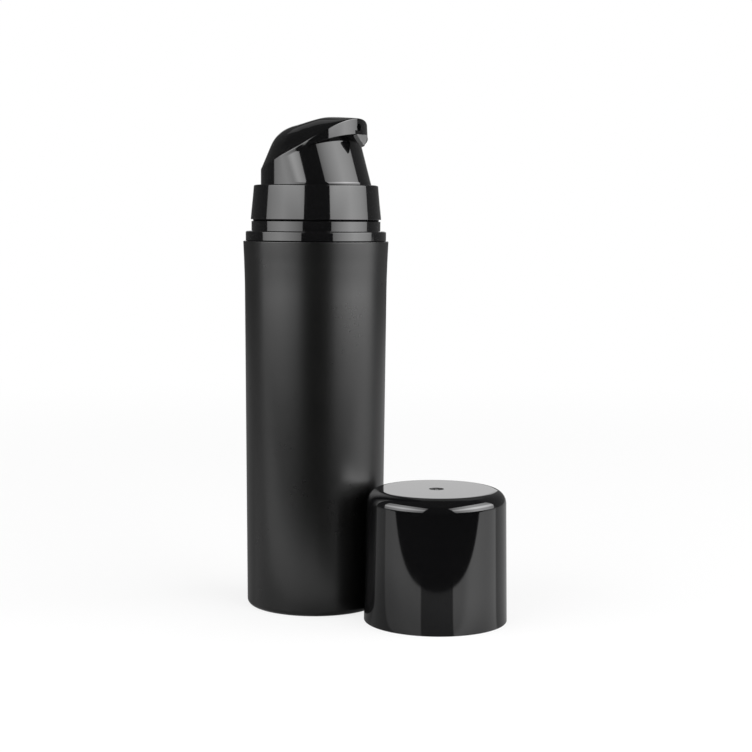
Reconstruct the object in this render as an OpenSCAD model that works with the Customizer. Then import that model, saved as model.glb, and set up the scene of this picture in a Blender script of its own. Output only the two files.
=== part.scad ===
// Airless pump bottle of about 50 ml, with its overcap standing beside it.
// Millimetres. Z is the bottle's axis and the standing plane is at zero. The nozzle points along +X.

/* [Bottle] */
// Height of the bottle from the standing plane to its rim
bottle_h = 89.3; // [84:0.1:110]
// Outer radius of the bottle at its base
bottle_base_r = 16.64; // [16.4:0.01:17]
// How much wider the bottle is just under its flared neck
neck_widen = 0.64; // [0:0.01:1]
// How much wider again it is at its rim
rim_widen = 0.38; // [0.2:0.01:1]
// Height of the flared neck
flare_h = 9.8; // [7:0.1:14]
// Rounding of the bottom edge
base_edge_r = 1.3; // [0.6:0.1:1.6]
// Width of the ring that the bottle stands on
foot_w = 1.6; // [1:0.1:3]
// Depth of the hollow under the base
base_recess = 1; // [0.6:0.1:2]
// Thickness of the bottle's floor
floor_t = 1.8; // [1.2:0.1:3]
// Radius of the air hole in the floor
vent_r = 1.2; // [0.8:0.1:2]
// Thickness of the bottle's wall at its base
bottle_t = 1.44; // [1.2:0.01:1.8]

/* [Follower] */
// Height of the follower over its two lips
follower_h = 9; // [7:0.1:12]
// Thickness of the follower's wall and web
follower_t = 1.2; // [0.8:0.1:1.8]
// Depth of the well in the follower's top
follower_well = 5.6; // [4:0.1:5.8]
// Height of each sealing lip
follower_lip_h = 1.5; // [0.8:0.1:2]
// Running clearance around the follower's lips
follower_fit = 0.05; // [0.02:0.01:0.1]

/* [Closure and collar] */
// How far the flange on the rim stands back from the rim's edge
flange_in = 0.6; // [0.2:0.05:1]
// Height of that flange
flange_h = 2.4; // [1.8:0.1:4]
// How far the band above the flange stands back from the collar's lower edge
band_in = 0.18; // [0:0.01:0.4]
// Height of the band
band_h = 2.4; // [1.5:0.1:4]
// Height of the groove between the band and the collar
groove_h = 0.4; // [0.3:0.1:1.2]
// Depth of that groove
groove_d = 0.35; // [0.3:0.05:0.6]
// Thickness of the deck across the closure
deck_t = 1.7; // [1.2:0.1:2.2]
// Thickness of the plug skirt that snaps into the bottle
plug_t = 1; // [0.8:0.1:1.4]
// How far the plug skirt reaches into the bottle
plug_depth = 6; // [4:0.1:8]
// Depth of the counterbore that takes the plug
plug_land = 0.4; // [0.3:0.05:0.6]
// Radius of the snap bead on the plug
snap_r = 0.3; // [0.2:0.05:0.4]
// Height of the closure's tube that holds the collar
tube_h = 4.1; // [3:0.1:6]
// Thickness of that tube
tube_t = 0.73; // [0.6:0.01:1]
// Thickness of the collar round the tube at its lower edge
collar_low_t = 1.39; // [1.1:0.01:1.6]
// Thickness of the collar above the tube at its top
collar_top_t = 0.65; // [0.5:0.01:1]
// Height of the collar
collar_h = 8.3; // [6:0.1:10]
// Gap between the actuator's skirt and the collar
skirt_gap = 0.3; // [0.2:0.05:0.4]

/* [Pump] */
// Stroke of the pump
stroke = 6; // [4:0.1:6.5]
// Radius of the pump chamber
chamber_r = 4.5; // [4.2:0.1:5]
// Wall of the pump housing
housing_t = 1.4; // [1:0.1:1.6]
// Thickness of the housing's flange
housing_flange_t = 1.3; // [1:0.1:2]
// Radius of the housing's flange
housing_flange_r = 8.6; // [8:0.1:9]
// Thickness of the gasket under the housing's flange
gasket_t = 0.7; // [0.5:0.1:1.2]
// Radius of the inlet valve ball
inlet_ball_r = 1.75; // [1.5:0.05:1.9]
// Radius of the inlet port
inlet_port_r = 1.1; // [0.8:0.05:1.2]
// Lift of each valve ball
ball_lift = 0.8; // [0.5:0.1:1.2]
// Thickness of the disc that holds the inlet ball down
cage_t = 1; // [0.8:0.1:1.5]
// Height of the pump piston
piston_h = 4.2; // [3.6:0.1:5]
// Running clearance of the piston and the stem
pump_fit = 0.04; // [0.02:0.01:0.08]
// Outer radius of the stem
stem_r = 2.7; // [2.6:0.05:2.9]
// Radius of the stem's bore
stem_bore_r = 0.9; // [0.7:0.05:1]
// Radius of the outlet valve ball
outlet_ball_r = 1.4; // [1.3:0.05:1.5]
// Radial room around each valve ball
ball_room = 0.3; // [0.2:0.05:0.35]
// Radius of the stem's flange, which the spring lifts
stem_flange_r = 6.1; // [5.8:0.1:6.6]
// Thickness of that flange
stem_flange_t = 1.2; // [0.9:0.1:1.6]
// Wall of the ring that holds the guide bush
bush_ring_t = 1; // [0.8:0.1:1.4]
// Thickness of the guide bush
bush_t = 1.2; // [1:0.1:1.6]
// Height of the boss that centres the spring
spring_boss_h = 1.6; // [1:0.1:2.2]

/* [Spring] */
// Length of the spring at rest
spring_len = 11.5; // [11.5:0.1:13]
// Mean radius of the spring
spring_r = 5.2; // [5.1:0.05:5.6]
// Diameter of the spring wire
wire_d = 0.7; // [0.5:0.05:0.75]
// Number of turns
spring_turns = 6; // [5:0.5:6.5]

/* [Actuator] */
// Radius of the actuator's skirt and back wall
skirt_r = 13.42; // [13:0.01:13.6]
// How far the skirt sits inside the collar at rest
skirt_in = 5.2; // [4.4:0.1:5.6]
// Wall of the skirt
skirt_t = 1.3; // [1:0.1:1.4]
// Height of the actuator above the collar
head_h = 16.45; // [14:0.05:18]
// How far the hood's band stands back at the nozzle
nose_in = 1.08; // [0.5:0.01:1.4]
// How much wider the band is at its lower edge at the nozzle
nose_flare = 0.15; // [0:0.05:0.6]
// Backward lean of the front wall, in mm for each mm of height
front_lean = 0.31; // [0.15:0.01:0.35]
// Height of the crease at the back, above the collar
crease_back_h = 3.45; // [2.5:0.05:5]
// Height of the hood's lower edge at the nozzle, above the collar
hood_edge_h = 11.9; // [10.5:0.1:12]
// Fall of the hood's lower edge from the nozzle to the back
hood_edge_fall = 10.2; // [8:0.1:10.5]
// Lean of the dome's sides from the vertical, in degrees
dome_lean = 23; // [10:0.5:28]
// The same lean at the nozzle
dome_lean_front = 44; // [20:1:50]
// Radius of the crown from side to side
crown_r = 19; // [18:1:60]
// Fall of the crown towards the back, in mm for each mm
crown_fall = 0.22; // [0.1:0.01:0.35]
// The same fall towards the nozzle
crown_nose_fall = 0.07; // [0:0.01:0.15]
// Place of the crown's highest point, in front of the axis
crown_x = 4.3; // [0:0.1:6]
// Softness of that bend
crown_soft = 1.3; // [0.5:0.1:4]
// Size of the rounding between the dome's sides and its crown
shoulder = 3.7; // [1.5:0.1:4]
// Width of the lip that hangs under the nose
lip_w = 4.5; // [3:0.1:6]
// Depth of that lip
lip_h = 2.8; // [1.5:0.05:3.2]
// Thickness of the lip
lip_t = 1.1; // [0.9:0.1:1.6]
// How far the lip reaches beyond the band
lip_out = 1.05; // [0.4:0.05:1.2]
// Lean of the lip's face, outwards as it goes down, in degrees
lip_lean = 14; // [0:1:20]
// Radius of the outlet in the nose
orifice_r = 0.68; // [0.4:0.01:0.8]
// Radius of the channel inside the actuator
channel_r = 0.9; // [0.85:0.05:1]

/* [Overcap] */
// Height of the overcap
cap_h = 31.35; // [30:0.05:36]
// Room between the overcap's inside and the collar
cap_room = 0.16; // [0.15:0.01:0.4]
// How much narrower the overcap is under the rounding of its top
cap_taper = 0.55; // [0:0.01:0.8]
// Rounding of the top edge
cap_edge_r = 3.2; // [1.2:0.05:4]
// Wall of the overcap
cap_t = 1; // [0.8:0.01:1.2]
// Thickness of its top
cap_top_t = 1.6; // [1.2:0.1:2.4]
// Radius of the snap bead inside its mouth
cap_bead_r = 0.34; // [0.25:0.01:0.4]
// Radius of the moulding gate's dimple in the top
gate_r = 1.7; // [1:0.1:2.5]
// Depth of that dimple
gate_d = 0.35; // [0.2:0.05:0.6]
// Gap between the bottle and the overcap that stands beside it
cap_stand_gap = 0.48; // [0.2:0.01:30]
// Angle of the standing overcap about the bottle's axis, from the nozzle's direction
cap_stand_a = 2.2; // [0:0.1:20]

/* [Hidden] */
$fn = 96;

gloss_black = [0.05, 0.05, 0.055];
matt_black = [0.09, 0.09, 0.09];
milky = [0.88, 0.88, 0.84];
steel = [0.7, 0.71, 0.72];

touch = 0.05;
overlap = 0.01;

// radii from the bottle outwards and from the actuator outwards
bottle_neck_r = bottle_base_r + neck_widen;
bottle_rim_r = bottle_neck_r + rim_widen;
bore_r = bottle_base_r - bottle_t;
counter_r = bore_r + plug_land;
flange_r = bottle_rim_r - flange_in;
well_r = skirt_r + skirt_gap;
tube_r = well_r + tube_t;
collar_low_r = tube_r + collar_low_t;
collar_top_r = tube_r + collar_top_t;
band_r = collar_low_r - band_in;

// heights up the bottle and its closure
rim_z = bottle_h;
floor_z = base_recess + floor_t;
counter_z = rim_z - plug_depth - 0.4;
flange_top_z = rim_z + flange_h;
band_top_z = flange_top_z + band_h;
collar_z = band_top_z + groove_h;
collar_top_z = collar_z + collar_h;
deck_top_z = rim_z + deck_t;
tube_top_z = band_top_z + tube_h;

// heights of the fixed pump parts
flange_z = deck_top_z + gasket_t;
bush_z = flange_z + housing_flange_t;
bush_top_z = bush_z + bush_t;
housing_r = chamber_r + housing_t;
bush_skirt_t = 1.2;
bush_r = housing_flange_r + bush_skirt_t;
bush_boss_h = 1.4;
boss_low_z = bush_z - bush_boss_h;

// heights of the moving pump parts, from the top of the stroke down
foot_t = 0.8;
foot_r = 3.6;
piston_top_z = boss_low_z - touch;
piston_z = piston_top_z - piston_h;
foot_top_z = piston_z - touch;
foot_z = foot_top_z - foot_t;
cage_gap = 0.3;
cage_top_z = foot_z - stroke - cage_gap;
cage_z = cage_top_z - cage_t;

// the inlet valve: a ball on a 45 degree seat
inlet_room_r = inlet_ball_r + ball_room;
inlet_top_z = cage_z - touch;
inlet_c_z = inlet_top_z - ball_lift - inlet_ball_r;
inlet_seat_z = inlet_c_z - inlet_ball_r * sqrt(2) - touch * sqrt(2);
inlet_port_z = inlet_seat_z + inlet_port_r;
inlet_plate_t = 1;
housing_z = inlet_port_z - inlet_plate_t;

// the follower rests just above the bottle's floor
follower_z = floor_z + 0.1;
follower_top_z = follower_z + follower_h;
follower_web_z = follower_top_z - follower_well;
follower_travel = min(housing_z - follower_web_z, rim_z - plug_depth - follower_top_z) - 0.3;

// the stem, its flange and the outlet valve
stem_flange_z = bush_top_z + spring_len;
stem_flange_top_z = stem_flange_z + stem_flange_t;
socket_z = stem_flange_top_z + 0.2;
socket_depth = 4.5;
stem_top_z = socket_z + socket_depth;
outlet_room_r = outlet_ball_r + ball_room;
outlet_c_z = stem_top_z - ball_lift - outlet_ball_r;
outlet_seat_z = outlet_c_z - outlet_ball_r * sqrt(2) - touch * sqrt(2);

// the actuator's outer form
skirt_z = collar_top_z - skirt_in;
lean_z = collar_top_z + 0.2;
nose_r = skirt_r - nose_in;
crease_back_z = collar_top_z + crease_back_h;
hood_edge_z = collar_top_z + hood_edge_h;
crown_top_z = collar_top_z + head_h;
crease_front_z = crown(nose_r, 0) - 0.2;
crease_power = 1.74;
spout_z = crown_top_z - 2.8;
socket_r = 4.4;
ceiling_z = stem_top_z - 1;
hollow_top_r = 9.2;
hollow_lean_z = collar_top_z + 0.8;

// the overcap
cap_mouth_r = collar_low_r + cap_room + cap_t;
cap_top_r = cap_mouth_r - cap_taper;
cap_stand_x = bottle_base_r + cap_mouth_r + cap_stand_gap;
cap_mouth_in = cap_mouth_r - cap_t;
cap_top_in = cap_top_r - cap_t - 0.25;
cap_seat_z = collar_z - groove_h / 2 - flange_top_z;
cap_rad = 1.4;

// Smooth step from 0 to 1.
function smooth(v) = let(k = min(1, max(0, v))) k * k * (3 - 2 * k);

// The larger of two lengths, with a soft change between them.
function larger(p, q, soft) = (p + q + sqrt((p - q) * (p - q) + soft * soft)) / 2;

// Share of the way from the back, 0, to the nozzle, 1.
function front(a) = (1 + cos(a)) / 2;

// Outer radius of the hood's band at azimuth a: round about the nozzle, then it follows the wall below.
function hood_rad(a) = min(skirt_r, larger(nose_r, lean_rad(a, hood_edge(a)), 0.2));
function hood_low_rad(a) = hood_rad(a) + nose_flare * smooth((cos(a) - 0.2) / 0.6);

// Height of the crease between the band and the dome.
function crease(a) = crease_back_z + (crease_front_z - crease_back_z) * pow(front(a), crease_power);

// Height of the hood's lower edge, a slanted plane.
function hood_edge(a) = hood_edge_z - hood_edge_fall * (1 - front(a));

// The lower wall is an upright cylinder at the back, cut at the front by a cylinder that leans back.
function lean_rad(a, z) =
    let(d = front_lean * max(0, z - lean_z))
    sqrt(skirt_r * skirt_r - pow(d * sin(a), 2)) - d * cos(a);
function body_rad(a, z) = min(skirt_r, lean_rad(a, z));

// Crowned top surface at polar place r, a: it falls away from its highest point to the back and to the nozzle.
function crown(r, a) =
    let(x = r * cos(a) - crown_x)
    crown_top_z - crown_fall * larger(0, -x, crown_soft) - crown_nose_fall * larger(0, x, crown_soft)
        - pow(r * sin(a), 2) / (2 * crown_r);

// Radius where the dome's leaning side would meet the crown, found in a few rounds.
function side_lean(a) = dome_lean + (dome_lean_front - dome_lean) * pow(front(a), 4);
function side_top(a, r, n) =
    n == 0 ? r : side_top(a, hood_rad(a) - (crown(r, a) - crease(a)) * tan(side_lean(a)), n - 1);

// Quadratic curve through a corner.
function bend(p, q, r, t) = (1 - t) * (1 - t) * p + 2 * t * (1 - t) * q + t * t * r;

// One upright section of the actuator's outside, from the skirt's lower edge to the axis.
body_steps = 4;
bend_steps = 6;
crown_steps = 5;
function section(a) =
    let(
        edge = hood_edge(a),
        recess = hood_low_rad(a) - body_rad(a, edge),
        top = edge - 0.25 + 0.3 * min(2.5, recess),
        low = [hood_rad(a), crease(a)],
        corner_r = side_top(a, hood_rad(a), 5),
        corner = [corner_r, crown(corner_r, a)],
        side = norm(corner - low),
        start = corner + (low - corner) * min(shoulder / side, 0.85),
        end_r = corner_r - shoulder,
        end = [end_r, crown(end_r, a)]
    )
    concat(
        [[skirt_r, skirt_z]],
        [for (i = [0 : body_steps]) let(z = lean_z + (top - lean_z) * i / body_steps) [body_rad(a, z), z]],
        [[hood_low_rad(a), edge], low],
        [for (i = [0 : bend_steps]) bend(start, corner, end, i / bend_steps)],
        [for (i = [1 : crown_steps - 1]) let(r = end_r * (1 - i / crown_steps)) [r, crown(r, a)]]
    );

// Closed skin through the sections, with a flat underside and one point on top.
head_sides = 72;
module head_form() {
    sections = [for (k = [0 : head_sides - 1]) section(360 * k / head_sides)];
    rows = len(sections[0]);
    points = concat(
        [for (k = [0 : head_sides - 1]) for (p = sections[k])
            [p[0] * cos(360 * k / head_sides), p[0] * sin(360 * k / head_sides), p[1]]],
        [[0, 0, skirt_z], [0, 0, crown(0, 0)]]
    );
    low = head_sides * rows;
    high = low + 1;
    faces = [for (k = [0 : head_sides - 1])
        let(a = k * rows, b = ((k + 1) % head_sides) * rows)
        each concat(
            [[a, b, low]],
            [for (i = [0 : rows - 2]) each [[a + i, a + i + 1, b + i + 1], [a + i, b + i + 1, b + i]]],
            [[a + rows - 1, high, b + rows - 1]]
        )];
    polyhedron(points, faces, convexity = 6);
}

module bottle() {
    color(matt_black)
    difference() {
        rotate_extrude() union() {
            polygon([
                [0, 0],
                [bottle_base_r - base_edge_r, 0],
                [bottle_base_r, base_edge_r],
                [bottle_neck_r, rim_z - flare_h],
                [bottle_neck_r + 0.02, rim_z - flare_h + 0.5],
                [bottle_neck_r + (bottle_rim_r - bottle_neck_r) * 0.45, rim_z - flare_h * 0.45],
                [bottle_rim_r, rim_z - 1],
                [bottle_rim_r, rim_z - 0.2],
                [bottle_rim_r - 0.2, rim_z],
                [0, rim_z]
            ]);
            intersection() {
                translate([bottle_base_r - base_edge_r, base_edge_r]) circle(base_edge_r);
                square([bottle_base_r, base_edge_r + overlap]);
            }
        }
        translate([0, 0, floor_z]) cylinder(r = bore_r, h = rim_z);
        translate([0, 0, counter_z]) cylinder(r = counter_r, h = rim_z);
        translate([0, 0, -1])
            cylinder(r = bottle_base_r - base_edge_r - foot_w, h = base_recess + 1);
        translate([0, 0, -1]) cylinder(r = vent_r, h = floor_z + 2);
        snap_ring(counter_r);
    }
}

// Ring of the snap joint between the closure's plug and the bottle.
module snap_ring(r) {
    translate([0, 0, rim_z - plug_depth * 0.6]) rotate_extrude() translate([r, 0]) circle(snap_r, $fn = 32);
}

module follower_piston() {
    lip_r = bore_r - follower_fit;
    waist_r = lip_r - 0.5;
    inner_r = waist_r - follower_t;
    color(milky)
    rotate_extrude() polygon([
        [0, follower_web_z - follower_t],
        [inner_r, follower_web_z - follower_t],
        [inner_r, follower_z],
        [lip_r, follower_z],
        [lip_r, follower_z + follower_lip_h],
        [waist_r, follower_z + follower_lip_h + 0.6],
        [waist_r, follower_top_z - follower_lip_h - 0.6],
        [lip_r, follower_top_z - follower_lip_h],
        [lip_r, follower_top_z],
        [inner_r, follower_top_z],
        [inner_r, follower_web_z],
        [0, follower_web_z]
    ]);
}

module closure() {
    color(gloss_black)
    union() {
        rotate_extrude() polygon([
            [housing_r + touch, rim_z],
            [counter_r - plug_t, rim_z],
            [counter_r - plug_t, rim_z - plug_depth],
            [counter_r - 0.3, rim_z - plug_depth],
            [counter_r, rim_z - plug_depth + 0.6],
            [counter_r, rim_z],
            [flange_r - 0.25, rim_z],
            [flange_r, rim_z + 0.25],
            [flange_r, flange_top_z - 0.4],
            [flange_r - 0.4, flange_top_z],
            [band_r, flange_top_z],
            [band_r, band_top_z],
            [band_r - groove_d, band_top_z],
            [band_r - groove_d, collar_z],
            [tube_r, collar_z],
            [tube_r, tube_top_z],
            [well_r, tube_top_z],
            [well_r, deck_top_z],
            [bush_r + bush_ring_t, deck_top_z],
            [bush_r + bush_ring_t, bush_z + 0.6],
            [bush_r, bush_z + 0.6],
            [bush_r, deck_top_z],
            [housing_r + touch, deck_top_z]
        ]);
        snap_ring(counter_r);
    }
}

module collar() {
    edge = 0.4;
    color(gloss_black)
    rotate_extrude() union() {
        polygon([
            [tube_r, collar_z],
            [collar_low_r - 0.15, collar_z],
            [collar_low_r, collar_z + 0.15],
            [collar_top_r, collar_top_z - edge],
            [collar_top_r - edge, collar_top_z],
            [well_r, collar_top_z],
            [well_r, tube_top_z],
            [tube_r, tube_top_z]
        ]);
        translate([collar_top_r - edge, collar_top_z - edge]) circle(edge, $fn = 48);
    }
}

module housing_gasket() {
    color(milky)
    translate([0, 0, deck_top_z]) difference() {
        cylinder(r = housing_flange_r, h = gasket_t);
        translate([0, 0, -1]) cylinder(r = housing_r + touch, h = gasket_t + 2);
    }
}

module pump_housing() {
    nose_taper = 1.2;
    color(milky)
    rotate_extrude() polygon([
        [inlet_port_r, housing_z],
        [housing_r - nose_taper, housing_z],
        [housing_r, housing_z + nose_taper],
        [housing_r, flange_z],
        [housing_flange_r, flange_z],
        [housing_flange_r, bush_z],
        [chamber_r, bush_z],
        [chamber_r, cage_z],
        [inlet_room_r, cage_z],
        [inlet_room_r, inlet_seat_z + inlet_room_r],
        [inlet_port_r, inlet_port_z]
    ]);
}

module inlet_ball() {
    color(steel)
    translate([0, 0, inlet_c_z]) sphere(inlet_ball_r);
}

module ball_cage() {
    holes = 4;
    hole_r = 0.65;
    color(milky)
    translate([0, 0, cage_z]) difference() {
        cylinder(r = chamber_r, h = cage_t);
        for (k = [0 : holes - 1])
            rotate(360 / holes * k) translate([inlet_room_r - hole_r, 0, -1])
                cylinder(r = hole_r, h = cage_t + 2, $fn = 32);
    }
}

module pump_piston() {
    lip_r = chamber_r - pump_fit;
    waist_r = lip_r - 0.4;
    lip_h = 0.9;
    color(milky)
    rotate_extrude() polygon([
        [stem_r + pump_fit, piston_z],
        [lip_r, piston_z],
        [lip_r, piston_z + lip_h],
        [waist_r, piston_z + lip_h + 0.4],
        [waist_r, piston_top_z - lip_h - 0.4],
        [lip_r, piston_top_z - lip_h],
        [lip_r, piston_top_z],
        [stem_r + pump_fit, piston_top_z]
    ]);
}

module guide_bush() {
    spring_boss_r = spring_r - wire_d / 2 - 0.3;
    color(milky)
    rotate_extrude() polygon([
        [stem_r + pump_fit, boss_low_z],
        [chamber_r, boss_low_z],
        [chamber_r, bush_z],
        [housing_flange_r, bush_z],
        [housing_flange_r, deck_top_z],
        [bush_r, deck_top_z],
        [bush_r, bush_top_z],
        [spring_boss_r, bush_top_z],
        [spring_boss_r, bush_top_z + spring_boss_h],
        [stem_r + pump_fit, bush_top_z + spring_boss_h]
    ]);
}

// Centre line of the spring: its end turns lie closer than the working ones.
end_pitch = wire_d + 0.5;
work_pitch = (spring_len - wire_d - 2 * end_pitch) / (spring_turns - 2);
function spring_z(n) =
    n < 1 ? n * end_pitch
    : n > spring_turns - 1 ? end_pitch + (spring_turns - 2) * work_pitch + (n - spring_turns + 1) * end_pitch
    : end_pitch + (n - 1) * work_pitch;
function spring_point(n) =
    [spring_r * cos(360 * n), spring_r * sin(360 * n), bush_top_z + wire_d / 2 + spring_z(n)];

module return_spring() {
    sides = 6;
    steps = 12;
    rings = floor(spring_turns * steps);
    points = [for (i = [0 : rings]) let(n = spring_turns * i / rings, c = spring_point(n)) for (j = [0 : sides - 1])
        c + wire_d / 2 * [cos(360 * n) * cos(360 * j / sides), sin(360 * n) * cos(360 * j / sides),
                          sin(360 * j / sides)]];
    walls = [for (i = [0 : rings - 1]) for (j = [0 : sides - 1])
        let(a = i * sides + j, b = i * sides + (j + 1) % sides)
        each [[a, b, b + sides], [a, b + sides, a + sides]]];
    ends = [[for (j = [sides - 1 : -1 : 0]) j], [for (j = [0 : sides - 1]) rings * sides + j]];
    color(steel)
    polyhedron(points, concat(walls, ends), convexity = 12);
}

module stem() {
    neck_top = stem_flange_top_z;
    color(milky)
    rotate_extrude() polygon([
        [stem_bore_r, foot_z],
        [foot_r, foot_z],
        [foot_r, foot_top_z],
        [stem_r, foot_top_z],
        [stem_r, stem_flange_z],
        [stem_flange_r, stem_flange_z],
        [stem_flange_r, stem_flange_top_z],
        [stem_r, neck_top],
        [stem_r, stem_top_z],
        [outlet_room_r, stem_top_z],
        [outlet_room_r, outlet_seat_z + outlet_room_r],
        [stem_bore_r, outlet_seat_z + stem_bore_r]
    ]);
}

module outlet_ball() {
    color(steel)
    translate([0, 0, outlet_c_z]) sphere(outlet_ball_r);
}

// Lip under the nose, in the outline of a rounded V, with a root up into the hood.
module nose_lip() {
    steps = 10;
    root_h = 1;
    side = [for (i = [0 : steps]) let(t = i / steps) [lip_w / 2 * (1 - pow(t, 1.3)), -lip_h * t]];
    outline = concat(side, [for (i = [steps - 1 : -1 : 0]) [-side[i][0], side[i][1]]]);
    translate([nose_r + lip_out, 0, hood_edge_z]) rotate([0, -lip_lean, 0]) rotate([90, 0, 90])
        translate([0, 0, -lip_t]) linear_extrude(lip_t) polygon(outline);
    translate([nose_r - 0.9, -lip_w / 3, hood_edge_z - 0.4]) cube([1, lip_w / 1.5, 0.4 + root_h]);
}

module actuator() {
    slot_w = 0.6;
    color(gloss_black)
    difference() {
        union() {
            difference() {
                head_form();
                translate([0, 0, skirt_z]) rotate_extrude() polygon([
                    [0, -1],
                    [skirt_r - skirt_t, -1],
                    [skirt_r - skirt_t, hollow_lean_z - skirt_z],
                    [hollow_top_r, ceiling_z - skirt_z],
                    [0, ceiling_z - skirt_z]
                ]);
            }
            translate([0, 0, socket_z]) cylinder(r = socket_r, h = ceiling_z - socket_z + overlap);
            nose_lip();
        }
        translate([0, 0, socket_z - 1]) cylinder(r = stem_r, h = socket_depth + 1);
        translate([0, 0, stem_top_z - overlap]) cylinder(r = channel_r, h = spout_z - stem_top_z + overlap);
        for (k = [0, 90]) rotate(k) translate([-outlet_room_r, -slot_w / 2, stem_top_z - overlap])
            cube([2 * outlet_room_r, slot_w, 0.8]);
        translate([0, 0, spout_z]) sphere(channel_r);
        translate([0, 0, spout_z]) rotate([0, 90, 0]) cylinder(r = channel_r, h = nose_r - 1.2);
        translate([0, 0, spout_z]) rotate([0, 90, 0]) cylinder(r = orifice_r, h = nose_r + 3);
    }
}

module overcap() {
    color(gloss_black)
    rotate(cap_stand_a) translate([cap_stand_x, 0, 0]) difference() {
        rotate_extrude() difference() {
            union() {
                polygon([
                    [0, 0],
                    [cap_mouth_r - 0.2, 0],
                    [cap_mouth_r, 0.2],
                    [cap_top_r, cap_h - cap_edge_r],
                    [cap_top_r - cap_edge_r, cap_h],
                    [0, cap_h]
                ]);
                translate([cap_top_r - cap_edge_r, cap_h - cap_edge_r]) circle(cap_edge_r);
            }
            difference() {
                union() {
                    polygon([
                        [0, -1],
                        [cap_mouth_in, -1],
                        [cap_mouth_in, 5],
                        [cap_top_in, cap_h - cap_top_t - cap_rad],
                        [cap_top_in - cap_rad, cap_h - cap_top_t],
                        [0, cap_h - cap_top_t]
                    ]);
                    translate([cap_top_in - cap_rad, cap_h - cap_top_t - cap_rad]) circle(cap_rad);
                }
                translate([cap_mouth_in, cap_seat_z]) circle(cap_bead_r, $fn = 32);
            }
        }
        translate([0, 0, cap_h - gate_d]) difference() {
            cylinder(r = gate_r, h = 1);
            translate([0, 0, -1]) cylinder(r = gate_r * 0.35, h = 1 + gate_d * 0.6);
        }
    }
}

bottle();
follower_piston();
closure();
collar();
housing_gasket();
pump_housing();
inlet_ball();
ball_cage();
pump_piston();
guide_bush();
return_spring();
stem();
outlet_ball();
actuator();
overcap();
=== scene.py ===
import bpy
import bmesh
from math import cos, pi, radians, sin, sqrt, tan
from mathutils import Matrix, Vector


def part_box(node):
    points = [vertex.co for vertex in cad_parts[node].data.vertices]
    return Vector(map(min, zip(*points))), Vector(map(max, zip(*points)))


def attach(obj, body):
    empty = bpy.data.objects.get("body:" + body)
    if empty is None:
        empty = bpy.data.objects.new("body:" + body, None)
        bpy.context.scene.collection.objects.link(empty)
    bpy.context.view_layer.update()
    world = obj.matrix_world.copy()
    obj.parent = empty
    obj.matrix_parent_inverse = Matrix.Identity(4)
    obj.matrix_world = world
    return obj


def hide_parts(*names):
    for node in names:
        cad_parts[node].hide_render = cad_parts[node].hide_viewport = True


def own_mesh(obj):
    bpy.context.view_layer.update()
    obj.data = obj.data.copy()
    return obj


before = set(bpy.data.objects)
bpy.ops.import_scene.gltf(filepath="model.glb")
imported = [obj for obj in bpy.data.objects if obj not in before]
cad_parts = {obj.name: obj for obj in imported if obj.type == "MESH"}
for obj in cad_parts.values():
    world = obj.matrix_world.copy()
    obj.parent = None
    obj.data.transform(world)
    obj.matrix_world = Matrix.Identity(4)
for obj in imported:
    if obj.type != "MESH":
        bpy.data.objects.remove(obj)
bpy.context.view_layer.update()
MM = 0.001

# The picture's own directions: right, away from the lens, up. The nozzle points to the front right.
NOZZLE_TURN = radians(33)
PICTURE = Matrix.Rotation(NOZZLE_TURN, 4, "Z")

# Camera, fitted to the outlines in the photograph
LENS_PX = 1667.5
PICTURE_PX = 752
SENSOR = 36
CAMERA_AT = Vector((14.83, -407.3, 95.4)) * MM
CAMERA_DOWN = radians(5.471)
CAMERA_ROLL = radians(0.376)


def make_camera():
    data = bpy.data.cameras.new("camera")
    data.sensor_width = SENSOR
    data.lens = LENS_PX * SENSOR / PICTURE_PX
    data.clip_start = 0.01
    camera = bpy.data.objects.new("camera", data)
    bpy.context.scene.collection.objects.link(camera)
    tilt = Matrix.Rotation(pi / 2 - CAMERA_DOWN, 4, "X") @ Matrix.Rotation(CAMERA_ROLL, 4, "Z")
    camera.matrix_world = PICTURE @ Matrix.Translation(CAMERA_AT) @ tilt
    bpy.context.scene.camera = camera


class Value:
    """One shader socket that can be written in an expression."""

    def __init__(self, maker, socket):
        self.maker = maker
        self.socket = socket

    def maths(self, operation, *terms):
        node = self.maker.node("Math", {"operation": operation}, dict(enumerate(terms)))
        return Value(self.maker, node.outputs[0])

    def __add__(self, other):
        return self.maths("ADD", self, other)

    def __radd__(self, other):
        return self.maths("ADD", other, self)

    def __sub__(self, other):
        return self.maths("SUBTRACT", self, other)

    def __rsub__(self, other):
        return self.maths("SUBTRACT", other, self)

    def __mul__(self, other):
        return self.maths("MULTIPLY", self, other)

    def __rmul__(self, other):
        return self.maths("MULTIPLY", other, self)

    def __truediv__(self, other):
        return self.maths("DIVIDE", self, other)

    def __rtruediv__(self, other):
        return self.maths("DIVIDE", other, self)

    def __pow__(self, other):
        return self.maths("POWER", self, other)

    def absolute(self):
        return self.maths("ABSOLUTE", self)

    def root(self):
        return self.maths("SQRT", self)

    def above(self, level, soft):
        """0 below the level, 1 above it, over a soft edge."""
        node = self.maker.node(
            "MapRange",
            {"interpolation_type": "SMOOTHSTEP"},
            {"Value": self, "From Min": level - soft, "From Max": level + soft},
        )
        return Value(self.maker, node.outputs[0])


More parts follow.
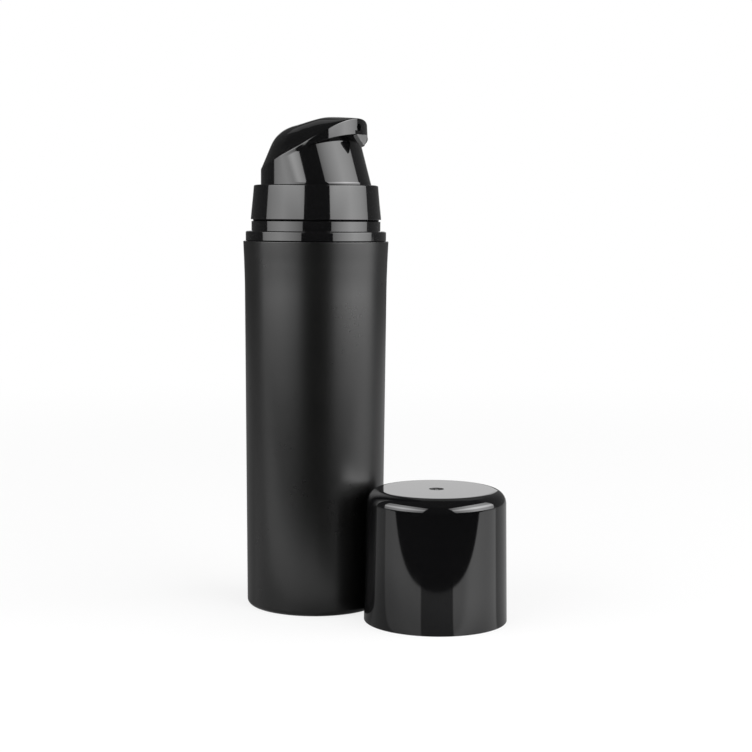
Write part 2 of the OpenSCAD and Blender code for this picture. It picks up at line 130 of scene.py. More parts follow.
class Maker:
    """Builds one node tree: any node by one method."""

    def __init__(self, tree):
        self.tree = tree
        tree.nodes.clear()

    def node(self, kind, settings=None, inputs=None):
        node = self.tree.nodes.new("ShaderNode" + kind)
        for key, value in (settings or {}).items():
            setattr(node, key, value)
        for key, value in (inputs or {}).items():
            self.feed(node.inputs[key], value)
        return node

    def feed(self, target, value):
        if isinstance(value, Value):
            self.tree.links.new(value.socket, target)
        elif isinstance(value, bpy.types.NodeSocket):
            self.tree.links.new(value, target)
        else:
            target.default_value = value

    def place(self):
        return self.node("TexCoord").outputs["Object"]

    def places(self):
        """The coordinates as three values."""
        return [Value(self, part) for part in self.node("SeparateXYZ", None, {0: self.place()}).outputs]

    def noise(self, scale, detail=2, rough=0.5):
        inputs = {"Vector": self.place(), "Scale": scale, "Detail": detail, "Roughness": rough}
        return Value(self, self.node("TexNoise", None, inputs).outputs[0])

    def bump(self, height, depth):
        node = self.node("Bump", None, {"Height": height, "Distance": depth, "Strength": 1})
        return node.outputs[0]

    def surface(self, shader):
        self.node("OutputMaterial", None, {"Surface": shader.outputs[0]})


def new_material(name):
    material = bpy.data.materials.new(name)
    material.use_nodes = True
    return material, Maker(material.node_tree)


def plastic(name, colour, roughness, normal=None, **constants):
    """A principled surface. Colour and roughness may be values that vary."""
    material, maker = new_material(name)
    shader = maker.node("BsdfPrincipled")
    maker.feed(shader.inputs["Base Color"], colour(maker) if callable(colour) else colour)
    maker.feed(shader.inputs["Roughness"], roughness(maker) if callable(roughness) else roughness)
    if normal:
        maker.feed(shader.inputs["Normal"], normal(maker))
    for key, value in constants.items():
        shader.inputs[key.replace("_", " ")].default_value = value
    maker.surface(shader)
    return material


def grey(level):
    return (level, level, level, 1)


def between(maker, factor, low, high):
    node = maker.node("Mix", {"data_type": "RGBA"}, {0: factor, 6: low, 7: high})
    return node.outputs[2]


# Moulded plastics: how fine the matt grain and the ripple of the polished faces are, per metre
GRAIN = 7000
RIPPLE = 55


def matt_black():
    def colour(m):
        return between(m, m.noise(90, 3), (0.0015, 0.0015, 0.0015, 1), (0.0025, 0.0025, 0.0024, 1))

    def roughness(m):
        return 0.24 + 0.06 * m.noise(60, 4, 0.6) + 0.03 * m.noise(900, 2)

    def normal(m):
        return m.bump(m.noise(GRAIN, 2, 0.6), 0.0006 * MM)

    return plastic("matt_black", colour, roughness, normal, IOR=1.54)


def gloss_black():
    def colour(m):
        return between(m, m.noise(50, 2), (0.002, 0.002, 0.0022, 1), (0.0035, 0.0035, 0.0037, 1))

    def roughness(m):
        smear = m.noise(45, 4, 0.65).above(0.58, 0.12)
        return 0.045 + 0.03 * smear + 0.015 * m.noise(1500, 2)

    def normal(m):
        return m.bump(m.noise(RIPPLE, 1, 0.4), 0.02 * MM)

    return plastic("gloss_black", colour, roughness, normal, IOR=1.5)


# Satin finish for the lip; its grey, lighter than the black head, is painted light on the lip
def satin_lit_grey():
    def colour(m):
        return between(m, m.noise(90, 3), (0.05, 0.05, 0.05, 1), (0.065, 0.065, 0.065, 1))

    def roughness(m):
        return 0.4 + 0.06 * m.noise(700, 3)

    def normal(m):
        return m.bump(m.noise(GRAIN, 2), 0.003 * MM)

    return plastic("satin_lit_grey", colour, roughness, normal, IOR=1.5)


def milky():
    def colour(m):
        return between(m, m.noise(120, 2), (0.8, 0.8, 0.76, 1), (0.86, 0.86, 0.83, 1))

    def roughness(m):
        return 0.38 + 0.1 * m.noise(400, 3)

    def normal(m):
        return m.bump(m.noise(3000, 2), 0.004 * MM)

    return plastic("milky", colour, roughness, normal, IOR=1.51, Subsurface_Weight=0.2)


def soft_seal():
    def colour(m):
        return between(m, m.noise(200, 2), (0.76, 0.76, 0.73, 1), (0.82, 0.82, 0.79, 1))

    def roughness(m):
        return 0.6 + 0.1 * m.noise(800, 2)

    def normal(m):
        return m.bump(m.noise(2500, 2), 0.006 * MM)

    return plastic("soft_seal", colour, roughness, normal)


def steel():
    def roughness(m):
        return 0.22 + 0.12 * m.noise(1500, 3)

    def normal(m):
        return m.bump(m.noise(5000, 2), 0.002 * MM)

    return plastic("steel", (0.6, 0.6, 0.61, 1), roughness, normal, Metallic=1)


# The set: floor, soft boxes and cards, placed in the picture's own directions
SET_CENTRE = Vector((0, 0, 70)) * MM
CAP_AT = (29.3 * MM, -17.5 * MM)
NEAR_EDGE = -87.8 * MM
FLOOR_REACH = 6

# A soft box in gloss: its rim's share in its light, its fall to the sides, and the brighter stripe across it
RIM_SHARE = 0.6
SIDE_FALL = 1.2
STRIPE = 1.85
STRIPE_FALL = 0.95
STRIPE_EDGE = 0.26
STRIPE_SOFT = 0.13


def on_stage(obj, local):
    bpy.context.scene.collection.objects.link(obj)
    obj.matrix_world = PICTURE @ local
    return obj


def facing(azimuth, elevation, distance):
    """Place on a sphere round the set's centre, looking back at it. Azimuth 0 is towards the lens."""
    a, e = radians(azimuth), radians(elevation)
    out = Vector((sin(a) * cos(e), -cos(a) * cos(e), sin(e)))
    turn = out.to_track_quat("Z", "Y").to_matrix().to_4x4()
    return Matrix.Translation(SET_CENTRE + distance * out) @ turn


def rectangle(name, x, y):
    """Flat mesh that reaches x and y to each side of its middle."""
    mesh = bpy.data.meshes.new(name)
    mesh.from_pydata([(-x, -y, 0), (x, -y, 0), (x, y, 0), (-x, y, 0)], [], [(0, 1, 2, 3)])
    return mesh


def soft_box(name, azimuth, elevation, distance, width, height, rim, core):
    """An area light, and the card that stands for it in gloss, weaker at its sides than in its middle."""
    data = bpy.data.lights.new(name, "AREA")
    data.shape = "RECTANGLE"
    data.size = width
    data.size_y = height
    data.energy = (RIM_SHARE * rim + (1 - RIM_SHARE) * core) * pi * width * height
    light = on_stage(bpy.data.objects.new(name, data), facing(azimuth, elevation, distance))
    light.visible_glossy = False

    def glow(m):
        x, y, _ = m.places()
        across = x.absolute() / (width / 2)
        along = y.absolute() / (height / 2)
        stripe = STRIPE - STRIPE_FALL * along.above(STRIPE_EDGE, STRIPE_SOFT)
        return (core - (core - rim) * across ** SIDE_FALL) * stripe

    card(name + "_glow", azimuth, elevation, distance, width, height, glow)


def card(name, azimuth, elevation, distance, width, height, level):
    """A card seen only in the gloss of the object. Its level is a number, or a value that varies over it."""
    mesh = rectangle(name, width / 2, height / 2)
    obj = on_stage(bpy.data.objects.new(name, mesh), facing(azimuth, elevation, distance))
    material, maker = new_material(name)
    colour, strength = (level(maker), 1) if callable(level) else (grey(1), level)
    maker.surface(maker.node("Emission", None, {"Color": colour, "Strength": strength}))
    mesh.materials.append(material)
    obj.visible_camera = False
    obj.visible_diffuse = False
    obj.visible_shadow = False


# The floor in gloss is painted light, a glow seen only in reflections: its pools of light are laid out by
# bearing from two points in front of the overcap's middle, in degrees
INNER_POINT = 8.7 * MM
OUTER_POINT = 15 * MM
LIT_FROM = 25.5
RIGHT_SIDE = 52
FADING = 80
LEFT_RIM = 94
RIGHT_BEHIND = 111.5
LEFT_BEHIND = 119

# Its painted levels: everywhere, in front, at its sides and behind, what the right adds, and what fades; the
# foot's share is painted shade round the bottle's foot
FLOOR_LEVEL = 0.08
FRONT_LEVEL = 0.25
SIDE_LEVEL = 1.17
RIGHT_ADDS = 0.15
FAR_RIGHT_ADDS = 0.45
BACK_LEVEL = 0.17
RIGHT_BACK_ADDS = 0.23
WIDE_FADES = 0.33
LEFT_RIM_FADES = 0.55
DISTANCE_FADES = 0.4
FOOT_SHADE = 0.5

# The floor's own light to the camera, near the overcap, and the room's light on the object and in its gloss
OWN_GLOW = 0.78
ROOM_LIGHT = 0.35
ROOM_IN_GLOSS = 0.2


def bearing(x, y):
    """Angle of a floor point from the direction of the lens, positive to the right."""
    return x.maths("ARCTAN2", x, 0 - y)


def past(angle, degrees, soft):
    return angle.above(radians(degrees), radians(soft))


def floor_level(m):
    """Painted light of the floor in gloss, and the distance from the overcap's middle."""
    bx, by, _ = m.places()
    x, y = bx - CAP_AT[0], by - CAP_AT[1]
    inner = bearing(x, y + INNER_POINT)
    outer = bearing(x, y + OUTER_POINT)
    wide = outer.absolute()
    right = x.above(0, 0.001)
    far = (x * x + y * y).root()
    from_bottle = (bx * bx + by * by).root()

    # painted pools of the soft boxes' light on the floor, to the right and left of the lens
    lit = past(inner, LIT_FROM, 1.2) + past(0 - inner, LIT_FROM, 1.2)
    behind = past(outer, RIGHT_BEHIND, 2) + past(0 - outer, LEFT_BEHIND, 2)
    right_adds = right * (RIGHT_ADDS + FAR_RIGHT_ADDS * past(wide, RIGHT_SIDE, 8))
    side = lit * (1 - behind) * (SIDE_LEVEL + right_adds)
    side = side * (1 - WIDE_FADES * past(wide, FADING, 20))
    side = side * (1 - LEFT_RIM_FADES * past(0 - outer, LEFT_RIM, 1.5))
    side = side * (1 - DISTANCE_FADES * far.above(270 * MM, 90 * MM))
    in_front = (1 - lit) * (1 - far.above(130 * MM, 90 * MM)) * FRONT_LEVEL
    back = behind * (BACK_LEVEL + RIGHT_BACK_ADDS * right)
    # painted shade on the floor round the bottle's foot, seen only in reflections
    foot_shade = (1 - from_bottle.above(52 * MM, 42 * MM)) * (0 - by).above(15 * MM, 35 * MM)
    before_edge = (y + CAP_AT[1]).above(NEAR_EDGE, 1.5 * MM)
    level = before_edge * (1 - FOOT_SHADE * foot_shade) * (FLOOR_LEVEL + side + in_front + back)
    return level, far


def floor_material():
    material, m = new_material("pale_floor")
    rays = m.node("LightPath").outputs
    level, far = floor_level(m)
    # the painted floor light, a glow that only glossy rays see
    seen_in_gloss = m.node("Emission", None, {"Color": level, "Strength": 1})
    paint = m.node("BsdfDiffuse", None, {"Color": grey(0.9)})
    glow = m.node("Emission", None, {"Color": grey(1), "Strength": 1})
    share = OWN_GLOW + (1 - OWN_GLOW) * far.above(350 * MM, 250 * MM)
    share = share * Value(m, rays["Is Camera Ray"])
    own = m.node("MixShader", None, {0: share, 1: paint.outputs[0], 2: glow.outputs[0]})
    gloss = rays["Is Glossy Ray"]
    m.surface(m.node("MixShader", None, {0: gloss, 1: own.outputs[0], 2: seen_in_gloss.outputs[0]}))
    return material


def make_floor():
    mesh = rectangle("floor", FLOOR_REACH, FLOOR_REACH)
    mesh.materials.append(floor_material())
    on_stage(bpy.data.objects.new("floor", mesh), Matrix.Identity(4))


def make_world():
    world = bpy.data.worlds.new("white_room")
    world.use_nodes = True
    bpy.context.scene.world = world
    m = Maker(world.node_tree)
    rays = m.node("LightPath").outputs
    seen = Value(m, rays["Is Camera Ray"])
    seen = seen.maths("MAXIMUM", seen, rays["Is Transmission Ray"])
    glossy = Value(m, rays["Is Glossy Ray"]) * (1 - seen)
    strength = ROOM_LIGHT + (1 - ROOM_LIGHT) * seen - (ROOM_LIGHT - ROOM_IN_GLOSS) * glossy
    sky = m.node("Background", None, {"Color": grey(1), "Strength": strength})
    m.node("OutputWorld", None, {"Surface": sky.outputs[0]})


def make_set():
    make_floor()
    make_world()
    soft_box("left_box", -57.5, 19.5, 0.7, 1.075, 0.55, 2.4, 5.2)
    soft_box("right_box", 66.6, 20, 0.7, 1.136, 0.57, 2.6, 6.9)
    card("front_card", 0, 10, 1.4, 2.6, 2.6, 0.03)
    card("ceiling_card", 0, 88, 0.62, 3.0, 1.15, 0.08)
    card("left_back_card", -132, 20, 0.75, 1.2, 1.2, 0.09)
    card("right_back_card", 141, 20, 0.75, 0.95, 1.2, 0.16)
    card("low_back_card", 180, 10.5, 0.7, 0.35, 0.18, 1.1)
    card("high_back_card", 180, 52, 0.6, 0.6, 0.25, 0.33)


# Turned pieces: steps round the axis, and steps of a quarter turn of a rounding
AROUND = 192
ARC = 6
TINY = 1e-6


def rounded(corners):
    """Outline through corners (radius, height, rounding), with each rounded corner as an arc."""
    points = []
    count = len(corners)
    for i, (r, z, size) in enumerate(corners):
        here = Vector((r, z))
        if size == 0:
            points.append(here)
            continue
        back = Vector(corners[i - 1][:2]) - here
        ahead = Vector(corners[(i + 1) % count][:2]) - here
        half = back.angle(ahead) / 2
        run = size / tan(half)
        start, end = here + back.normalized() * run, here + ahead.normalized() * run
        middle = here + (back.normalized() + ahead.normalized()).normalized() * size / sin(half)
        turn = (start - middle).angle_signed(end - middle)
        steps = max(2, round(ARC * abs(turn) / (pi / 2) * (1 + size)))
        for k in range(steps + 1):
            spoke = (start - middle).copy()
            spoke.rotate(Matrix.Rotation(-turn * k / steps, 2))
            points.append(middle + spoke)
    return points


def piece(name, mesh, body, material, replaced, at=(0, 0, 0)):
    obj = bpy.data.objects.new(name, mesh)
    bpy.context.scene.collection.objects.link(obj)
    mesh.transform(Matrix.Translation(at))
    mesh.materials.append(material)
    for face in mesh.polygons:
        face.use_smooth = True
    even = obj.modifiers.new("even_normals", "WEIGHTED_NORMAL")
    even.weight = 100
    even.keep_sharp = True
    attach(obj, body)
    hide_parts(replaced)
    return obj


def to_mesh(name, bm):
    mesh = bpy.data.meshes.new(name)
    bm.to_mesh(mesh)
    bm.free()
    return mesh


def turned(name, corners, around=AROUND):
    """Mesh of revolution about Z of a closed outline in millimetres."""
    outline = rounded(corners)
    bm = bmesh.new()
    rings = []
    for r, z in outline:
        if r < TINY:
            rings.append([bm.verts.new((0, 0, z * MM))] * around)
        else:
            turns = [2 * pi * k / around for k in range(around)]
            rings.append([bm.verts.new((r * MM * cos(a), r * MM * sin(a), z * MM)) for a in turns])
    for a, b in zip(rings, rings[1:] + rings[:1]):
        for k in range(around):
            n = (k + 1) % around
            corner = [a[k], a[n], b[n], b[k]]
            loop = [v for i, v in enumerate(corner) if v is not corner[i - 1]]
            if len(loop) > 2:
                bm.faces.new(loop)
    bmesh.ops.recalc_face_normals(bm, faces=bm.faces)
    return to_mesh(name, bm)


def low(node):
    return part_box(node)[0].z / MM


def high(node):
    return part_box(node)[1].z / MM


RIM = high("bottle")
RIM_RADIUS = 17.66
NECK_RADIUS = 17.45
NECK_FALL = 4.6
SIDE_RADIUS = 17.28
FLARE_FALL = 9.8
BASE_RADIUS = 16.64
BORE = 15.2
COUNTERBORE = 15.6
COUNTERBORE_DEPTH = 6.4
BOTTLE_FLOOR = 2.8
FOOT_INSIDE = 13.74
FOOT_RECESS = 1
AIR_HOLE = 1


def make_bottle(material):
    ledge = RIM - COUNTERBORE_DEPTH
    corners = [
        (AIR_HOLE, FOOT_RECESS, 0.1), (FOOT_INSIDE, FOOT_RECESS, 0.4), (FOOT_INSIDE, 0, 0.25),
        (BASE_RADIUS, 0, 1.3), (SIDE_RADIUS, RIM - FLARE_FALL, 200), (NECK_RADIUS, RIM - NECK_FALL, 180),
        (RIM_RADIUS, RIM, 0.18), (COUNTERBORE, RIM, 0.2), (COUNTERBORE, ledge, 0.2),
        (BORE, ledge, 0.15), (BORE, BOTTLE_FLOOR, 0.5), (AIR_HOLE, BOTTLE_FLOOR, 0.1),
    ]
    return piece("bottle_body", turned("bottle_body", corners), "bottle", material, "bottle")


FLANGE_RADIUS = 17.06
FLANGE_HEIGHT = 2.4
BAND_RADIUS = 15.66
BAND_HEIGHT = 2.4
GROOVE_RADIUS = 15.31
TUBE_OUTSIDE = 14.43
TUBE_INSIDE = 13.72
PLUG_INSIDE = 14.6
PLUG_TIP = 15.3
PLUG_FIT = 0.02
DECK_THICK = 1.7
DECK_HOLE = 5.95
SEAT_OUTSIDE = 10.8
SEAT_INSIDE = 9.8
SEAT_HEIGHT = 2.6


def make_closure(material):
    flange_top = RIM + FLANGE_HEIGHT
    band_top = flange_top + BAND_HEIGHT
    collar_low = low("collar")
    tube_top = high("closure")
    plug_low = low("closure")
    plug = COUNTERBORE - PLUG_FIT
    deck = RIM + DECK_THICK
    seat_top = deck + SEAT_HEIGHT
    corners = [
        (DECK_HOLE, RIM, 0), (PLUG_INSIDE, RIM, 0.3),
        (PLUG_INSIDE, plug_low, 0.15), (PLUG_TIP, plug_low, 0.1),
        (plug, plug_low + 0.6, 0.1), (plug, RIM, 0),
        (FLANGE_RADIUS, RIM, 0.25), (FLANGE_RADIUS, flange_top, 0.3),
        (BAND_RADIUS, flange_top, 0.12), (BAND_RADIUS, band_top, 0.08),
        (GROOVE_RADIUS, band_top, 0), (GROOVE_RADIUS, collar_low, 0),
        (TUBE_OUTSIDE, collar_low, 0), (TUBE_OUTSIDE, tube_top, 0.1),
        (TUBE_INSIDE, tube_top, 0.1), (TUBE_INSIDE, deck, 0.2),
        (SEAT_OUTSIDE, deck, 0.1), (SEAT_OUTSIDE, seat_top, 0.15),
        (SEAT_INSIDE, seat_top, 0.15), (SEAT_INSIDE, deck, 0), (DECK_HOLE, deck, 0),
    ]
    return piece("closure_ring", turned("closure_ring", corners), "bottle", material, "closure")


COLLAR_FOOT = 15.84
COLLAR_SHOULDER = 15.1
COLLAR_BORE = 14.45


def make_collar(material):
    z0, z1 = low("collar"), high("collar")
    tube_top = high("closure")
    corners = [
        (COLLAR_BORE, z0, 0), (COLLAR_FOOT, z0, 0.1), (COLLAR_SHOULDER, z1, 0.35),
        (TUBE_INSIDE, z1, 0.2), (TUBE_INSIDE, tube_top, 0), (COLLAR_BORE, tube_top, 0),
    ]
    return piece("collar_sleeve", turned("collar_sleeve", corners), "bottle", material, "collar")


MOUTH_RADIUS = 17
CAP_TOP_RADIUS = 16.45
CAP_CORNER = 3.2
CAP_BORE = 16
CAP_BORE_TOP = 15.2
CAP_WALL = 1.6
BEAD_RADIUS = 15.66
BEAD_HEIGHT = 2.6
BEAD_HALF = 0.35
DIMPLE_RADIUS = 1.7
DIMPLE_DEPTH = 0.35
GATE_FALL = 0.03


def make_overcap(material):
    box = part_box("overcap")
    top = high("overcap")
    middle = ((box[0][0] + box[1][0]) / 2, (box[0][1] + box[1][1]) / 2, 0)
    inner_top = top - CAP_WALL
    corners = [
        (0, inner_top, 0), (CAP_BORE_TOP, inner_top, 1.4), (CAP_BORE, 5, 0),
        (CAP_BORE, BEAD_HEIGHT + BEAD_HALF, 0), (BEAD_RADIUS, BEAD_HEIGHT, 0.25),
        (CAP_BORE, BEAD_HEIGHT - BEAD_HALF, 0), (CAP_BORE, 0, 0.3),
        (MOUTH_RADIUS, 0, 0.2), (CAP_TOP_RADIUS, top, CAP_CORNER),
        (DIMPLE_RADIUS, top, 0.12), (DIMPLE_RADIUS, top - DIMPLE_DEPTH, 0.1),
        (0.5, top - DIMPLE_DEPTH, 0.05), (0.45, top - GATE_FALL, 0.1), (0, top - GATE_FALL, 0),
    ]
    return piece("cap_shell", turned("cap_shell", corners), "cap", material, "overcap", middle)


# The return spring
SPRING_LENGTH = 11.5
SPRING_RADIUS = 5.2
WIRE = 0.7
TURNS = 6
END_PITCH = WIRE + 0.5
PITCH = (SPRING_LENGTH - WIRE - 2 * END_PITCH) / (TURNS - 2)


def spring_height(n):
    """Height of the wire above its lower end after n turns."""
    return END_PITCH * (min(n, 1) + max(0, n - TURNS + 1)) + PITCH * min(max(0, n - 1), TURNS - 2)


def make_spring(material):
    """Swept wire whose end turns lie closer than the working ones."""
    steps, sides = 40, 12
    foot = low("return_spring") + WIRE / 2
    bm = bmesh.new()
    rings = []
    for i in range(TURNS * steps + 1):
        n = i / steps
        z = foot + spring_height(n)
        a = 2 * pi * n
        rings.append([])
        for k in range(sides):
            b = 2 * pi * k / sides
            r = SPRING_RADIUS + WIRE / 2 * cos(b)
            rings[-1].append(bm.verts.new(Vector((r * cos(a), r * sin(a), z + WIRE / 2 * sin(b))) * MM))
    for p, q in zip(rings, rings[1:]):
        for k in range(sides):
            n = (k + 1) % sides
            bm.faces.new((p[k], p[n], q[n], q[k]))
    bm.faces.new(rings[0])
    bm.faces.new(rings[-1])
    bmesh.ops.recalc_face_normals(bm, faces=bm.faces)
    spring = piece("coil_spring", to_mesh("coil_spring", bm), "bottle", material, "return_spring")
    spring.modifiers.clear()
    foot_at = (0, 0, low("return_spring") * MM)
    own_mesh(spring)


# The actuator: the same sections as the construction, closer together and with rounded edges
SKIRT = 13.42
COLLAR_TOP = high("collar")
SKIRT_LOW = low("actuator")
LEAN_FROM = COLLAR_TOP + 0.2
NOSE = SKIRT - 1.08
NOSE_FLARE = 0.15
FRONT_LEAN = 0.31
CREASE_BACK = COLLAR_TOP + 3.45
HOOD_EDGE = COLLAR_TOP + 11.9
HOOD_FALL = 10.2
CROWN_TOP = COLLAR_TOP + 16.45
CROWN_RADIUS = 19
CROWN_FALL = 0.22
CROWN_NOSE_FALL = 0.07
CROWN_X = 4.3
CROWN_SOFT = 1.3
SHOULDER = 3.7
SIDE_LEAN = 23
SIDE_LEAN_FRONT = 44
CREASE_POWER = 1.74
SPOUT = CROWN_TOP - 2.8
CEILING = COLLAR_TOP + 7.8
SKIRT_WALL = 1.3
HEAD_EDGE = 0.18

# Where the wall ends under the hood's edge, the shoulder's largest share of the side, and how the lean grows
UNDER_EDGE = 0.25
UNDER_SLOPE = 0.3
UNDER_REACH = 2.5
SHOULDER_SHARE = 0.85
LEAN_POWER = 4

# Steps up the wall, round the shoulder and over the dome
WALL_STEPS = 24
SHOULDER_STEPS = 20
DOME_STEPS = 16


def smooth(v):
    k = min(1, max(0, v))
    return k * k * (3 - 2 * k)


def larger(p, q, soft):
    return (p + q + sqrt((p - q) ** 2 + soft ** 2)) / 2


def front(a):
    return (1 + cos(a)) / 2


def hood_edge(a):
    return HOOD_EDGE - HOOD_FALL * (1 - front(a))


def lean_radius(a, z):
    back = FRONT_LEAN * max(0, z - LEAN_FROM)
    return sqrt(SKIRT ** 2 - (back * sin(a)) ** 2) - back * cos(a)


def wall_radius(a, z):
    return min(SKIRT, lean_radius(a, z))


def hood_radius(a):
    return min(SKIRT, larger(NOSE, lean_radius(a, hood_edge(a)), 0.2))


def crown(r, a):
    x = r * cos(a) - CROWN_X
    fall = CROWN_FALL * larger(0, -x, CROWN_SOFT) + CROWN_NOSE_FALL * larger(0, x, CROWN_SOFT)
    return CROWN_TOP - fall - (r * sin(a)) ** 2 / (2 * CROWN_RADIUS)


CREASE_FRONT = crown(NOSE, 0) - 0.2


def crease(a):
    return CREASE_BACK + (CREASE_FRONT - CREASE_BACK) * front(a) ** CREASE_POWER


def section(a):
    """Outline of the head at one azimuth, from the skirt's lower edge up over the dome to the axis."""
    flare = NOSE_FLARE * smooth((cos(a) - 0.2) / 0.6)
    edge = Vector((hood_radius(a) + flare, hood_edge(a)))
    foot = Vector((hood_radius(a), crease(a)))
    recess = edge.x - wall_radius(a, edge.y)
    top = edge.y - UNDER_EDGE + UNDER_SLOPE * min(UNDER_REACH, recess)
    lean = tan(radians(SIDE_LEAN + (SIDE_LEAN_FRONT - SIDE_LEAN) * front(a) ** LEAN_POWER))
    corner = foot.x
    for _ in range(8):
        corner = foot.x - (crown(corner, a) - foot.y) * lean
    peak = Vector((corner, crown(corner, a)))
    start = peak + (foot - peak) * min(SHOULDER / (peak - foot).length, SHOULDER_SHARE)
    stop = Vector((corner - SHOULDER, crown(corner - SHOULDER, a)))
    rows = [Vector((SKIRT, SKIRT_LOW))]
    for i in range(WALL_STEPS + 1):
        z = LEAN_FROM + (top - LEAN_FROM) * i / WALL_STEPS
        rows.append(Vector((wall_radius(a, z), z)))
    size = min(HEAD_EDGE, 0.3 * (foot.y - edge.y))
    rows += soft_corner(rows[-1], edge, foot, size, 4)
    rows += soft_corner(edge, foot, start, size, 5)
    rows += [bend(start, peak, stop, i / SHOULDER_STEPS) for i in range(SHOULDER_STEPS + 1)]
    inwards = [stop.x * (1 - i / DOME_STEPS) for i in range(1, DOME_STEPS)]
    rows += [Vector((r, crown(r, a))) for r in inwards]
    return rows


def bend(p, q, r, t):
    return (1 - t) ** 2 * p + 2 * t * (1 - t) * q + t * t * r


def soft_corner(before, here, after, size, steps):
    """Short quadratic curve in place of a corner."""
    p = here + (before - here).normalized() * min(size, 0.45 * (before - here).length)
    q = here + (after - here).normalized() * min(size, 0.45 * (after - here).length)
    return [bend(p, here, q, i / steps) for i in range(steps + 1)]


def head_mesh(around=288):
    bore = SKIRT - SKIRT_WALL
    inside = [Vector((9.2, CEILING)), Vector((bore, COLLAR_TOP + 0.8)), Vector((bore, SKIRT_LOW))]
    bm = bmesh.new()
    columns = []
    for k in range(around):
        a = 2 * pi * k / around
        columns.append([
            bm.verts.new((p.x * cos(a) * MM, p.x * sin(a) * MM, p.y * MM)) for p in inside + section(a)
        ])
    base = bm.verts.new((0, 0, CEILING * MM))
    top = bm.verts.new((0, 0, crown(0, 0) * MM))
    for a, b in zip(columns, columns[1:] + columns[:1]):
        bm.faces.new((a[0], b[0], base))
        bm.faces.new((a[-1], b[-1], top))
        for i in range(len(a) - 1):
            bm.faces.new((a[i], b[i], b[i + 1], a[i + 1]))
    bmesh.ops.recalc_face_normals(bm, faces=bm.faces)
    return to_mesh("head", bm)


def tool(name, mesh):
    obj = bpy.data.objects.new(name, mesh)
    bpy.context.scene.collection.objects.link(obj)
    return obj


def combine(target, other, operation):
    """Apply one exact boolean and remove the tool."""
    step = target.modifiers.new(operation, "BOOLEAN")
    step.object = other
    step.operation = operation
    step.solver = "EXACT"
    graph = bpy.context.evaluated_depsgraph_get()
    made = bpy.data.meshes.new_from_object(target.evaluated_get(graph))
    target.modifiers.clear()
    target.data = made
    bpy.data.objects.remove(other)


def along_nozzle(mesh, z):
    mesh.transform(Matrix.Translation((0, 0, z * MM)) @ Matrix.Rotation(pi / 2, 4, "Y"))
    return mesh


LIP_WIDTH = 4.5
LIP_DEPTH = 2.8
LIP_THICK = 1.1
LIP_OUT = 1.05
LIP_LEAN = radians(14)
LIP_POWER = 1.3
LIP_ROOT = 0.33

# Outlet: radii of its bore and of its wider mouth, and the distances from the axis where they run
OUTLET_BORE = 0.7
OUTLET_MOUTH = 0.95
OUTLET_FROM = 8
MOUTH_FROM = 12.6
OUTLET_TO = 15


def lip_mesh():
    """Plate with a rounded V outline that hangs under the nose."""
    steps = 20
    shares = [i / steps for i in range(steps + 1)]
    half = [(LIP_WIDTH / 2 * (1 - share ** LIP_POWER), -LIP_DEPTH * share) for share in shares]
    outline = half + [(-y, z) for y, z in reversed(half[:-1])]
    bm = bmesh.new()
    face = bm.faces.new([bm.verts.new((-LIP_THICK * MM, y * MM, z * MM)) for y, z in outline])
    thick = bmesh.ops.extrude_face_region(bm, geom=[face])
    moved = [v for v in thick["geom"] if isinstance(v, bmesh.types.BMVert)]
    bmesh.ops.translate(bm, verts=moved, vec=(LIP_THICK * MM, 0, 0))
    rim = [e for e in bm.edges if all(v in moved for v in e.verts) and e.calc_length() < 4 * MM]
    bmesh.ops.bevel(bm, geom=rim, offset=0.12 * MM, segments=3, affect="EDGES", profile=0.5)
    under_nose = Matrix.Translation(Vector((NOSE + LIP_OUT, 0, HOOD_EDGE)) * MM)
    place = under_nose @ Matrix.Rotation(-LIP_LEAN, 4, "Y")
    bmesh.ops.transform(bm, matrix=place, verts=bm.verts)
    bmesh.ops.recalc_face_normals(bm, faces=bm.faces)
    return to_mesh("lip", bm)


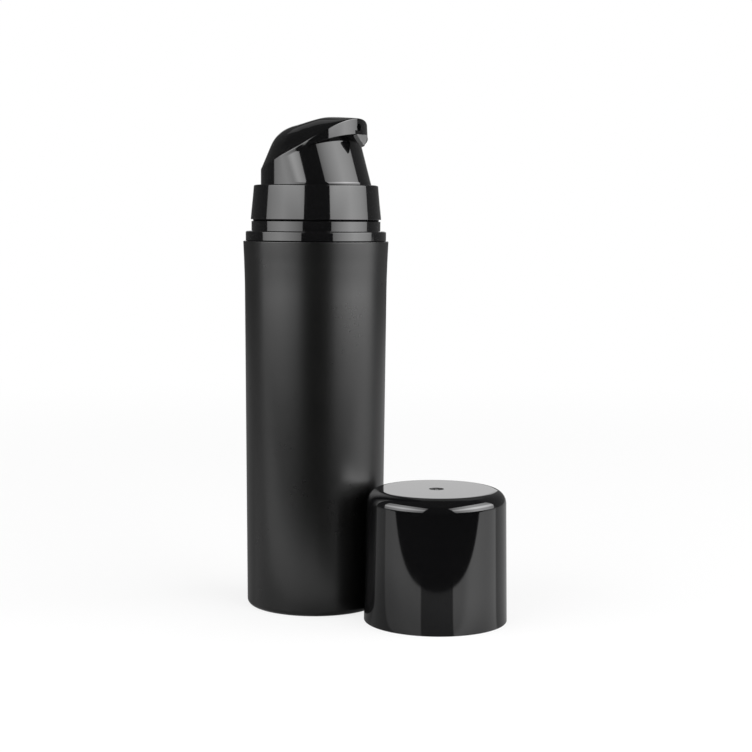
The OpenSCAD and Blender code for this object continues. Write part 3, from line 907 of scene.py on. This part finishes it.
def block(name, lowest, highest):
    x0, y0, z0 = (v * MM for v in lowest)
    x1, y1, z1 = (v * MM for v in highest)
    bm = bmesh.new()
    bmesh.ops.create_cube(bm, size=1)
    size = Matrix.Diagonal((x1 - x0, y1 - y0, z1 - z0, 1))
    middle = Matrix.Translation(((x0 + x1) / 2, (y0 + y1) / 2, (z0 + z1) / 2))
    bmesh.ops.transform(bm, matrix=middle @ size, verts=bm.verts)
    return to_mesh(name, bm)


def make_actuator(material, lip_lit_satin):
    head = tool("head_work", head_mesh())
    side = LIP_ROOT * LIP_WIDTH
    root = block("root", (NOSE - 0.9, -side, HOOD_EDGE - 0.4), (NOSE + 0.1, side, HOOD_EDGE + 1))
    combine(head, tool("root_work", root), "UNION")
    combine(head, tool("lip_work", lip_mesh()), "UNION")
    outline = [
        (0, OUTLET_FROM), (OUTLET_BORE, OUTLET_FROM), (OUTLET_BORE, MOUTH_FROM - 0.8),
        (OUTLET_MOUTH, MOUTH_FROM), (OUTLET_MOUTH, OUTLET_TO), (0, OUTLET_TO),
    ]
    hole = turned("hole", [(r, z, 0) for r, z in outline], 48)
    combine(head, tool("hole_work", along_nozzle(hole, SPOUT)), "DIFFERENCE")
    mesh = head.data
    bpy.data.objects.remove(head)
    mesh.materials.clear()
    piece("pump_head", mesh, "head", material, "actuator")
    mesh.set_sharp_from_angle(angle=radians(40))
    # the lip's faces get the lighter satin grey: painted light on the lip
    mesh.materials.append(lip_lit_satin)
    for face in mesh.polygons:
        at = face.center / MM
        on_lip = at.x > NOSE + 0.2 and HOOD_EDGE - LIP_DEPTH - 0.5 < at.z < HOOD_EDGE + 0.02
        face.material_index = 1 if on_lip else 0


FINISH = {
    "milky": ("follower_piston", "pump_housing", "ball_cage", "pump_piston", "guide_bush", "stem"),
    "seal": ("housing_gasket",),
    "steel": ("inlet_ball", "outlet_ball"),
}


def finish_nodes(materials):
    """Materials for the inner pieces, which keep their construction shape."""
    for kind, nodes in FINISH.items():
        for node in nodes:
            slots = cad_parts[node].data.materials
            slots.clear()
            slots.append(materials[kind])


make_camera()
make_set()
bpy.context.scene.view_settings.view_transform = "Standard"
materials = {
    "matt": matt_black(), "gloss": gloss_black(), "lip_lit_satin": satin_lit_grey(),
    "milky": milky(), "seal": soft_seal(), "steel": steel(),
}
make_bottle(materials["matt"])
make_closure(materials["gloss"])
make_collar(materials["gloss"])
make_overcap(materials["gloss"])
make_actuator(materials["gloss"], materials["lip_lit_satin"])
make_spring(materials["steel"])
finish_nodes(materials)
